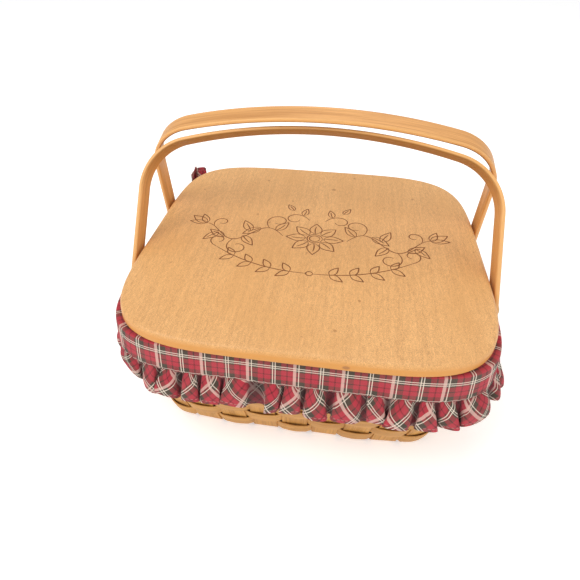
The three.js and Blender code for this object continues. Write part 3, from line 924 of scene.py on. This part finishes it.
class BASKET_OT_lid(bpy.types.Operator):
    """Lid board with rounded-over edges, and two cleats with their screws"""

    bl_idname = "basket.lid"
    bl_label = "Lid"

    def execute(self, context):
        finish = lid_wood()
        point, normal = LID.place(np.arange(288) / 288)[:2]
        turn = np.linspace(-np.pi / 2, np.pi / 2, 15)
        lift = np.where(turn < 0.0, LID_BOTTOM + LID_ROUND, LID_TOP - LID_ROUND) + LID_ROUND * np.sin(turn)
        lift = np.concatenate([[LID_BOTTOM], lift, [LID_TOP]])
        face = [LID_ROUND + LID_FACE]
        inset = np.concatenate([face, LID_ROUND * (1.0 - np.cos(turn)), face])
        plan = point[None] * LID_HALF - normal[None] * inset[:, None, None] - [0.0, LID_FORWARD]
        build("lid_board", [Grid(raised(plan, lift[:, None]))], finish, "lid", ["lid_panel"])

        along = np.concatenate([[-1.0, -0.999], np.linspace(-0.985, 0.985, 40), [0.999, 1.0]]) * CLEAT_HALF
        deep = CLEAT_THICK * np.clip((CLEAT_HALF - np.abs(along)) / CLEAT_TAPER, 0.03, 1.0)
        section = strip_section(CLEAT_WIDTH, 1.0, 0.12)
        height = CLEAT_TOP - deep[:, None] * (0.5 - section[None, :, 1])
        for end, y in (("front", -CLEAT_Y - LID_FORWARD), ("rear", CLEAT_Y - LID_FORWARD)):
            points = np.stack(np.broadcast_arrays(along[:, None], section[None, :, 0] + y, height), -1)
            build(f"cleat_{end}", [Grid(points)], finish, "lid", [f"lid_cleat_{end}"])
            seats = [np.array([x, y, CLEAT_TOP - CLEAT_THICK]) for x in SCREWS_X]
            screws = [Grid(lathe(dome(*SCREW), 18, seat, (0.0, 0.0, -1.0))) for seat in seats]
            build(f"cleat_screws_{end}", screws, dull_brass(), "lid")
        return {"FINISHED"}


def curl(start, heading, length, turns, bend=1.6):
    """Line that curls up: its heading turns by turns times t to the power bend, summed step by step."""
    t = np.linspace(0.0, 1.0, 60)
    aim = np.radians(heading) + 2 * np.pi * turns * t ** bend
    steps = spokes(aim) * length / 59
    return np.asarray(start) + np.concatenate([[[0.0, 0.0]], np.cumsum(steps[:-1], axis=0)])


def turned(points, start, heading):
    """Points turned to a heading and moved to a start."""
    cosine, sine = np.cos(np.radians(heading)), np.sin(np.radians(heading))
    return np.asarray(start) + points @ np.array([[cosine, sine], [-sine, cosine]])


def leaf(start, heading, length, width):
    """Leaf outline, a half-width of sine of pi t to the power 0.75 out and back, and its middle vein."""
    t = np.linspace(0.0, 1.0, 31)
    half = width / 2 * np.sin(np.pi * t ** 0.75)
    edge = np.concatenate([np.stack([t * length, half], -1), np.stack([t * length, -half], -1)[-2::-1]])
    vein = np.stack([t * length * 0.72, 0.06 * width * np.sin(np.pi * t)], -1)
    return [turned(edge, start, heading), turned(vein, start, heading)]


def swag(x):
    """Height of the swag's line: a power curve that rises away from the middle."""
    return SWAG_LOW + SWAG_RISE * ((x - SWAG_START) / SWAG_LENGTH) ** 2.2


def ornament_strokes():
    """Symmetric folk ornament: a rosette, two vines with leaves and curls, and a swag below."""
    ring = spokes(np.linspace(0.0, 2 * np.pi, 61))
    strokes = [ring * 5.0, ring * 7.4]
    for petal in np.arange(8) * 45.0:
        strokes += leaf(turned(np.array([8.8, 0.0]), (0.0, 0.0), petal), petal, 19.0, 12.0)
    t = np.linspace(0.0, 1.0, 80)
    vine = np.stack([31.0 + 80.0 * t, 13.0 * np.sin(2.5 * np.pi * t)], -1)
    swag_x = SWAG_START + SWAG_LENGTH * t
    side = [vine, np.stack([swag_x, swag(swag_x)], -1)]
    for start, heading, length, turns in (
            ((46.0, 12.4), 60.0, 58.0, 0.95), ((78.0, -12.2), -60.0, 54.0, -0.95),
            ((102.0, 9.0), 72.0, 36.0, 0.9), ((91.0, -28.0), 32.0, 40.0, 0.9),
            ((8.0, 34.0), 58.0, 50.0, -0.9)):
        side.append(curl(start, heading, length, turns))
    for start, heading, length, width in (
            ((39.0, 9.4), 122.0, 20.0, 9.0), ((55.0, 11.6), -40.0, 21.0, 9.5),
            ((64.0, 4.4), 64.0, 21.0, 9.5), ((70.0, -5.4), -128.0, 20.0, 9.0),
            ((88.0, -10.6), 36.0, 20.0, 9.0), ((95.0, -3.0), -50.0, 19.0, 8.5),
            ((15.0, 43.0), 102.0, 15.0, 7.0), ((26.0, 52.0), 60.0, 14.0, 6.5)):
        side += leaf(start, heading, length, width)
    for heading, length, width in ((36.0, 21.0, 10.0), (68.0, 18.0, 7.5), (4.0, 18.0, 7.5)):
        side += leaf((111.0, 13.0), heading, length, width)[:1]
    for x in (18.0, 36.0, 54.0, 72.0):
        for heading in (60.0, -36.0):
            side += leaf((x, swag(x)), heading, 14.0, 6.5)[:1]
    strokes += side + [stroke * [-1.0, 1.0] for stroke in side]
    strokes.append(ring * SWAG_START + [0.0, SWAG_LOW])
    return strokes


class BASKET_OT_ornament(bpy.types.Operator):
    """Ornament of burnt lines on the lid"""

    bl_idname = "basket.ornament"
    bl_label = "Ornament"

    def execute(self, context):
        wide = size("line_width") / 2
        section = np.array([[1.0, -0.1], [0.7, 0.03], [0.0, 0.06], [-0.7, 0.03], [-1.0, -0.1]])
        section = section * [wide, 1.0]
        grids = []
        for stroke in ornament_strokes():
            ahead = unit(np.gradient(stroke, axis=0))
            path = raised(stroke + ORNAMENT_PLACE, LID_TOP)
            aside = raised(np.stack([-ahead[:, 1], ahead[:, 0]], -1), 0.0)
            upward = np.broadcast_to([0.0, 0.0, 1.0], path.shape)
            taper = np.sin(np.pi * np.linspace(0.04, 0.96, len(stroke)))[:, None] ** 0.35
            grids.append(Grid(sweep(path, aside * taper, upward, section)))
        build("lid_ornament", grids, burnt_line(), "lid")
        return {"FINISHED"}


def half_turn(points):
    """Points turned half round about the upright axis."""
    return points * [-1.0, -1.0, 1.0]


def flap_grid(seed):
    """Cloth over the rim: its profile carried along the rim, and its place on the plaid.

    Outside the rim the cloth stands off by a slow ripple that grows downwards, and it puckers
    towards the seam, whose height wanders a little.
    """
    profile = np.array(FLAP_PROFILE)
    travel = travelled(profile)
    fine = np.linspace(0.0, travel[-1], 40)
    out, height = (np.interp(fine, travel, part)[None] for part in profile.T)
    share = np.linspace(-CLOTH_END, CLOTH_END, 520)[:, None]
    length = share * RIM_ROUND
    fall = np.clip((RIM_TOP - height) / (RIM_TOP - SEAM_Z), 0.0, 1.0)
    loose = 0.35 * fall * (1.0 + ripple(length / 20.0, seed, 1.3))
    pucker = 0.4 * ease(fall, 0.55, 1.0) * ripple(length, seed + 2.0, 0.85)
    wander = 0.5 * fall * ripple(length, seed + 5.0, 0.12)
    points = wall(share, height - wander, out + np.where(out > FLAP_FACE, loose + pucker, 0.0))
    flat = np.stack(np.broadcast_arrays(length, (travel[-1] - fine)[None] + SEAM_LAY), -1) * MM
    return points, flat


def inside_handle(plan, height):
    """Plan points drawn inside the lowered handle's right leg and shoulder, where they are high.

    The strip's inner edge runs at one distance from a line along the leg that ends in the
    shoulder's centre.
    """
    centre_y = PIVOT_Y + handle_bends()[1]
    low_edge = PIVOT_Z - HANDLE_WIDTH / 2
    reach = SHOULDER_RADIUS - HANDLE_THICK / 2 - HANDLE_CLEAR
    from_x = np.maximum(plan[..., 0] - SHOULDER_X, 0.0)
    from_y = np.minimum(plan[..., 1] + centre_y, 0.0) * (from_x > 0.0)
    away = np.stack([from_x, from_y], -1)
    past = 1.0 - reach / np.maximum(np.linalg.norm(away, axis=-1), reach)
    return plan - away * (past * ease(height, low_edge - 5.5, low_edge - 1.0))[..., None]


def gathered_folds(seed, travel, fall):
    """Folds that open from the seam to the hem: crest, way out, slide along and change of the drop.

    With p the angle of a fold, 0 on a lobe, the crest is the cosine of p plus a skew times sine
    of p. The cloth stands out by a flare, the depth times the crest, a puff at half height and
    small gathers that die out downwards. It slides along by a broadening times sine of p, which
    widens the lobes and narrows the creases, a roll times sine of 2 p, which makes the flanks
    steep, and the skew, which leans the lobes over. The hem rises on the creases, and a triangle
    wave and a slow ripple make it uneven. Every fold has its own width, depth and lean.
    """
    folds = bpy.context.scene.basket_sizes.fold_count
    pitch = 2 * CLOTH_END * RIM_ROUND / folds
    angle = travel * 2 * np.pi
    count = travel * folds + 0.42 * ripple(angle, seed, 4.3) + 0.1 * ripple(angle, seed, 11.0)

    def each(offset, waves):
        """Uneven wave over the count of folds."""
        return ripple(count, seed + offset, waves)

    skew = each(11.0, 2.6)
    phase = 2 * np.pi * (count + 0.16 * each(4.0, 1.9) * fall ** 1.5)
    crest = np.cos(phase + 0.55 * skew * np.sin(phase))
    uneven = 1.0 + 0.34 * each(1.0, 2.3)
    growth = 0.85 * np.sqrt(fall) + 0.15 * fall
    depth = size("fold_depth") * uneven * growth
    broad = pitch * (0.18 + 0.05 * each(6.0, 1.7)) * growth
    roll = size("fold_roll") * pitch / 24.0 * growth
    gather = 0.9 * np.sin(np.pi * np.clip(fall / 0.5, 0.0, 1.0))
    gather = gather * np.sin(3.0 * phase + 2.0 * each(0.0, 3.0))
    puff = 1.4 * np.sin(np.pi * fall) * uneven
    apart = size("flare") * ease(fall, -0.1, 1.1) + depth * (0.1 + 0.55 * crest) + puff + gather
    slide = broad * np.sin(phase) + roll * np.sin(2.0 * phase)
    slide = slide + 2.2 * each(7.0, 1.1) * fall + 4.4 * skew * fall * (1.0 + crest)
    hem = -2.0 * crest + 1.2 * np.arcsin(0.97 * np.sin(phase + 3.0 * each(8.0, 0.8))) + 1.4 * each(9.0, 0.9)
    return crest, apart, slide, hem


def ruffle_grid(seed, drawn_in=0.0, turned_up=0.0):
    """Gathered ruffle under a flap: points, place on the plaid, depth in a crease and the strip's length.

    drawn_in takes millimetres off the drop past the -X corner and most of that in a bell curve
    at the +X corner, beyond which the cloth spreads. turned_up turns the cloth near the +X corner
    up about the seam by some degrees, within a flat-topped bell. There it is a little longer and
    flatter, and lies outside the flap and inside the lowered handle. The cloth is cut on the bias.
    """
    travel = np.linspace(0.0, 1.0, 1100)[:, None]
    fall = np.linspace(0.0, 1.0, 34)[None]
    share = (travel - 0.5) * 2 * CLOTH_END
    crest, apart, slide, hem = gathered_folds(seed, travel, fall)
    left = drawn_in * ease(-share, *DRAWN_LEFT)
    right = drawn_in * np.exp(-((share - DRAWN_RIGHT) * RIM_ROUND / DRAWN_WIDTH) ** 2)
    bell = np.exp(-((share - TURNED_AT) * RIM_ROUND / TURNED_WIDTH) ** 4)
    folded = bell * (turned_up > 0.0)
    apart = apart + (0.25 * drawn_in * ease(share, *SPREAD_RIGHT) - 0.5 * left) * fall
    drop = (RUFFLE_DROP + RUFFLE_LAP + hem - left - 0.7 * right + 0.06 * turned_up * bell) * fall
    turn = np.radians(turned_up) * bell * ease(fall, -0.2, 0.5)
    out = CLOTH_OUT - RUFFLE_TUCK + apart * (1.0 - 0.45 * folded) + 3.4 * folded * ease(fall, 0.0, 0.3)
    out = out + 0.6 * drop * np.sin(turn)
    height = SEAM_Z + RUFFLE_LAP - drop * np.cos(turn)
    point, normal, onward = WALL.place(share + 0 * fall)
    plan = point * RIM_HALF + normal * out[..., None] + onward * slide[..., None]
    points = raised(inside_handle(plan, height), height)
    cut = travelled(points[:, fall.size * 2 // 3])
    along, down = np.broadcast_arrays((cut[:, None] + 5.5 * seed) * MM, fall * RUFFLE_DROP * MM)
    flat = np.stack([along + down, along - down], -1) / np.sqrt(2.0)
    # depth in a crease, which sets the painted shade there; less of it on the turned-up cloth
    crease = ease(-crest, 0.15, 0.95) * (1.0 - 0.3 * fall) * (1.0 - 0.8 * folded)
    return points, flat, crease, cut[-1]


def bag_grids():
    """Liner bag: a wall with shallow wrinkles, and a floor of rings that shrink to the middle."""
    share = np.arange(360)[:, None] / 360
    angle = share * 2 * np.pi
    upright = np.linspace(RIM_TOP - 1.0, RIM_FOOT + 1.0, 10)
    height = np.concatenate([upright, np.linspace(RIM_FOOT - 1.5, BAG_FOOT, 40)])[None]
    tall = ease(height, RIM_FOOT - 6.0, RIM_FOOT + 1.0)
    wrinkle = 0.7 + 0.7 * ripple(angle, 1.0, 23.0) * ease(height, RIM_TOP, 60.0)
    sag = 0.9 * np.sin(np.pi * height / RIM_TOP) * (1.0 + ripple(angle + height * 0.02, 2.0, 8.0)) / 2
    points = wall(share, height, -(BAG_IN + wrinkle) * (1.0 - tall) - CLOTH_OUT * tall - 0.4 - sag)
    flat = np.stack(np.broadcast_arrays(share * RIM_ROUND, height), -1) * MM
    closed = np.concatenate([points, points[:1]])
    side = Grid(closed, tube=False, flat=np.concatenate([flat, flat[:1] + [RIM_ROUND * MM, 0.0]]))

    shrink = np.concatenate([[1.0, 0.985, 0.965, 0.94], np.linspace(0.9, 0.02, 24)])[None]
    edge = closed[:, -1]
    turn = ease(shrink, 0.94, 1.0)
    level = BAG_FLOOR + (edge[:, 2:] - BAG_FLOOR) * turn ** 2
    wave = 0.5 * (1.0 + ripple(edge[:, :1] * shrink * 0.05, 1.0, 1.0)) * (1.0 - turn)
    floor = raised(edge[:, None, :2] * shrink[..., None], level + wave)
    return [side, Grid(floor, tube=False, flat=floor[..., :2] * MM)]


class BASKET_OT_liner(bpy.types.Operator):
    """Cloth liner: a bag inside, and a flap and a gathered ruffle over the front and the rear"""

    bl_idname = "basket.liner"
    bl_label = "Liner"

    def execute(self, context):
        finish = plaid_cloth("plaid_bag")
        banded = plaid_cloth("plaid_band", SEAM_LAY + BAND_STITCH)
        frilled = plaid_cloth("plaid_frill", RUFFLE_DROP - HEM_STITCH, True)
        thick = size("cloth_thick")

        def cloth(name, grids, plaid, node):
            return build(name, grids, plaid, "basket", [node], thick)

        bag = cloth("liner_cloth_bag", bag_grids(), finish, "liner_bag")
        for end, seed, drawn_in, turned_up in (("front", 1.0, 11.0, 0.0), ("rear", 6.0, 0.0, 165.0)):
            points, flat = flap_grid(seed)
            ruffle, bias, crease, cut = ruffle_grid(seed + 2.0, drawn_in, turned_up)
            if end == "rear":
                points = half_turn(points)
                ruffle = half_turn(ruffle)
            band = Grid(points, tube=False, flat=flat)
            flap = cloth(f"cloth_flap_{end}", [band], banded, f"liner_flap_{end}")
            strip = Grid(ruffle, tube=False, flat=bias, crease=crease)
            frill = cloth(f"cloth_ruffle_{end}", [strip], frilled, f"liner_ruffle_{end}")
        return {"FINISHED"}


def facing(right, up, back, spot):
    """Place of a camera or lamp from its three directions and its spot, as a matrix."""
    rows = np.column_stack([right, up, back, spot]).tolist()
    return Matrix(rows + [[0.0, 0.0, 0.0, 1.0]])


class BASKET_OT_stage(bpy.types.Operator):
    """Pale floor, soft studio light and the photograph's camera"""

    bl_idname = "basket.stage"
    bl_label = "Stage"

    def execute(self, context):
        scene = context.scene
        self.floor(scene)
        self.lights(scene)
        self.camera(scene)
        scene.view_settings.view_transform = "Standard"
        return {"FINISHED"}

    def floor(self, scene):
        """Flat disc as rings of a circle, wide enough to fill the view, just below the basket."""
        radius = np.array([1.0, 600.0, 2000.0, 6000.0, 20000.0])[:, None, None]
        turn = np.linspace(0.0, 2 * np.pi, 64, endpoint=False)
        points = raised(radius * spokes(turn), -0.05)
        quads = Grid(points, capped=False).faces()[0]
        mesh = bpy.data.meshes.new("pale_floor")
        mesh.from_pydata(points.reshape(-1, 3) * MM, [], quads.tolist() + [list(range(len(turn)))])
        mesh.materials.append(pale_floor())
        disc = bpy.data.objects.new("pale_floor", mesh)
        scene.collection.objects.link(disc)

    def lights(self, scene):
        """White surroundings and three square panels, each aimed at a spot; places and sizes in metres."""
        world = bpy.data.worlds.new("studio_white")
        world.use_nodes = True
        background = world.node_tree.nodes["Background"]
        background.inputs["Color"].default_value = (1.0, 1.0, 1.0, 1.0)
        background.inputs["Strength"].default_value = 0.6
        scene.world = world
        for name, spot, aim, side, power in (
                ("key_panel", (-0.9, -0.9, 1.5), (0.0, 0.0, 0.08), 1.0, 14.0),
                ("fill_panel", (1.3, -0.7, 0.9), (0.0, 0.0, 0.08), 1.2, 5.0),
                ("top_panel", (0.1, 0.5, 1.7), (0.0, 0.0, 0.1), 1.2, 6.0)):
            lamp = bpy.data.lights.new(name, "AREA")
            lamp.energy = power
            lamp.size = side
            panel = bpy.data.objects.new(name, lamp)
            ray = unit(np.array(spot) - np.array(aim))
            flank = unit(np.cross([0.0, 0.0, 1.0], ray))
            panel.matrix_world = facing(flank, np.cross(ray, flank), ray, np.array(spot))
            scene.collection.objects.link(panel)

    def camera(self, scene):
        """Camera at the fitted angles and distance from a point beside the lid's middle."""
        azimuth, elevation = np.radians(AZIMUTH), np.radians(ELEVATION)
        level = np.array([np.sin(azimuth), -np.cos(azimuth), 0.0])
        back = level * np.cos(elevation) + [0.0, 0.0, np.sin(elevation)]
        right = np.array([np.cos(azimuth), np.sin(azimuth), 0.0])
        up = np.cross(back, right)
        eye = np.array([0.0, 0.0, LID_TOP]) - SIDE_SHIFT * right - RISE_SHIFT * up + DISTANCE * back
        lens = bpy.data.cameras.new("photo_camera")
        lens.sensor_fit = "HORIZONTAL"
        lens.sensor_width = SENSOR
        lens.lens = FOCAL / PHOTO_SIDE * SENSOR
        lens.shift_x = (PHOTO_SIDE / 2 - MIDDLE_X) / PHOTO_SIDE
        lens.shift_y = (MIDDLE_Y - PHOTO_SIDE / 2) / PHOTO_SIDE
        lens.clip_start = 0.01
        view = bpy.data.objects.new("photo_camera", lens)
        view.matrix_world = facing(right, up, back, eye * MM)
        scene.collection.objects.link(view)
        scene.camera = view


class BASKET_PT_panel(bpy.types.Panel):
    """Sizes, colours and steps of the basket"""

    bl_label = "Splint basket"
    bl_idname = "BASKET_PT_panel"
    bl_space_type = "VIEW_3D"
    bl_region_type = "UI"
    bl_category = "Basket"

    def draw(self, context):
        for group in (context.scene.basket_sizes, context.scene.basket_colours):
            box = self.layout.box()
            for name in group.__annotations__:
                box.prop(group, name)
        for operator in OPERATORS:
            self.layout.operator(operator.bl_idname)


OPERATORS = (
    BASKET_OT_stage, BASKET_OT_splints, BASKET_OT_rim, BASKET_OT_handles, BASKET_OT_lid, BASKET_OT_ornament,
    BASKET_OT_liner)
CLASSES = (BasketSizes, BasketColours, *OPERATORS, BASKET_PT_panel)


def register():
    for kind in CLASSES:
        bpy.utils.register_class(kind)
    bpy.types.Scene.basket_sizes = bpy.props.PointerProperty(type=BasketSizes)
    bpy.types.Scene.basket_colours = bpy.props.PointerProperty(type=BasketColours)


def unregister():
    del bpy.types.Scene.basket_colours
    del bpy.types.Scene.basket_sizes
    for kind in reversed(CLASSES):
        bpy.utils.unregister_class(kind)


def main():
    register()
    bpy.ops.basket.stage()
    bpy.ops.basket.splints()
    bpy.ops.basket.rim()
    bpy.ops.basket.handles()
    bpy.ops.basket.lid()
    bpy.ops.basket.ornament()
    bpy.ops.basket.liner()


if __name__ == "__main__":
    main()
